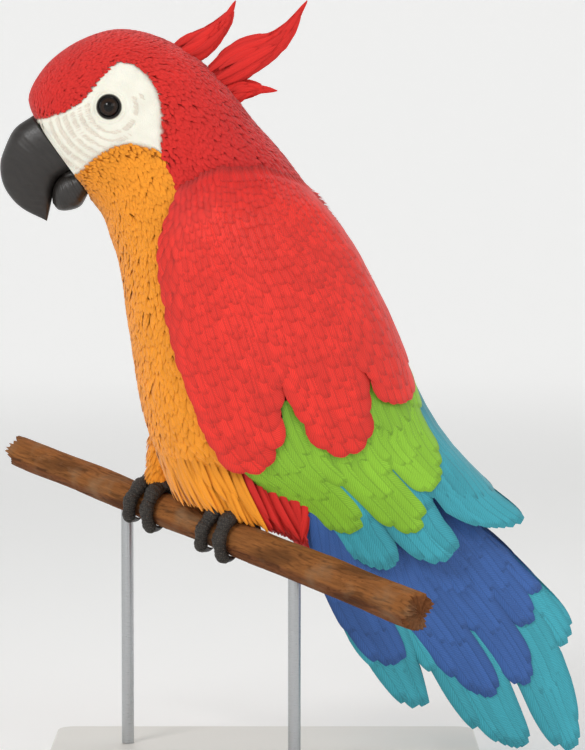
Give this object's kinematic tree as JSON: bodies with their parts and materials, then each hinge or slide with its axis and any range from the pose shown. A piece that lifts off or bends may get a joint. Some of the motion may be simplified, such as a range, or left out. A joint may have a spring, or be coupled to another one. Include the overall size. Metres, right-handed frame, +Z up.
{
  "type": "perched macaw parrot model",
  "caption": "Life-size crested red macaw with closed wings, gripping a cut length of branch carried by a flat base and upright rods.",
  "frame": {"origin": "middle of the bounding box, at the underside of the stand base", "axes": "+Z up, the bird faces -X, its left side faces -Y"},
  "size_m": [0.469, 0.3036, 0.6204],
  "materials": {
    "red_plumage": "matte layered feathers, scarlet",
    "orange_plumage": "matte soft feathers, warm orange",
    "teal_plumage": "satin flight feathers, teal with green and blue rows above them",
    "bill_horn": "satin black horn with fine growth lines",
    "dark_eye": "wet dark brown eye, opaque",
    "foot_skin": "scaly black-brown skin",
    "claw_horn": "satin black horn",
    "branch_bark": "rough brown bark, splintered ends",
    "base_board": "off-white painted board",
    "rod_steel": "brushed steel rod"
  },
  "bodies": {
    "root": {"bill_lower": "bill_horn", "bill_upper": "bill_horn", "claw_left_1": "claw_horn", "claw_left_2": "claw_horn", "claw_left_3": "claw_horn", "claw_left_4": "claw_horn", "claw_right_1": "claw_horn", "claw_right_2": "claw_horn", "claw_right_3": "claw_horn", "claw_right_4": "claw_horn", "crest_1": "red_plumage", "crest_2": "red_plumage", "crest_3": "red_plumage", "eye_left": "dark_eye", "eye_right": "dark_eye", "flight_feathers_left": "teal_plumage", "flight_feathers_right": "teal_plumage", "foot_left": "foot_skin", "foot_right": "foot_skin", "head": "red_plumage", "leg_left": "orange_plumage", "leg_right": "orange_plumage", "neck": "red_plumage", "perch": "branch_bark", "stand_base": "base_board", "stand_rod_1": "rod_steel", "stand_rod_2": "rod_steel", "tail": "teal_plumage", "trunk": "orange_plumage", "wing_left": "red_plumage", "wing_right": "red_plumage"}
  },
  "joints": []
}
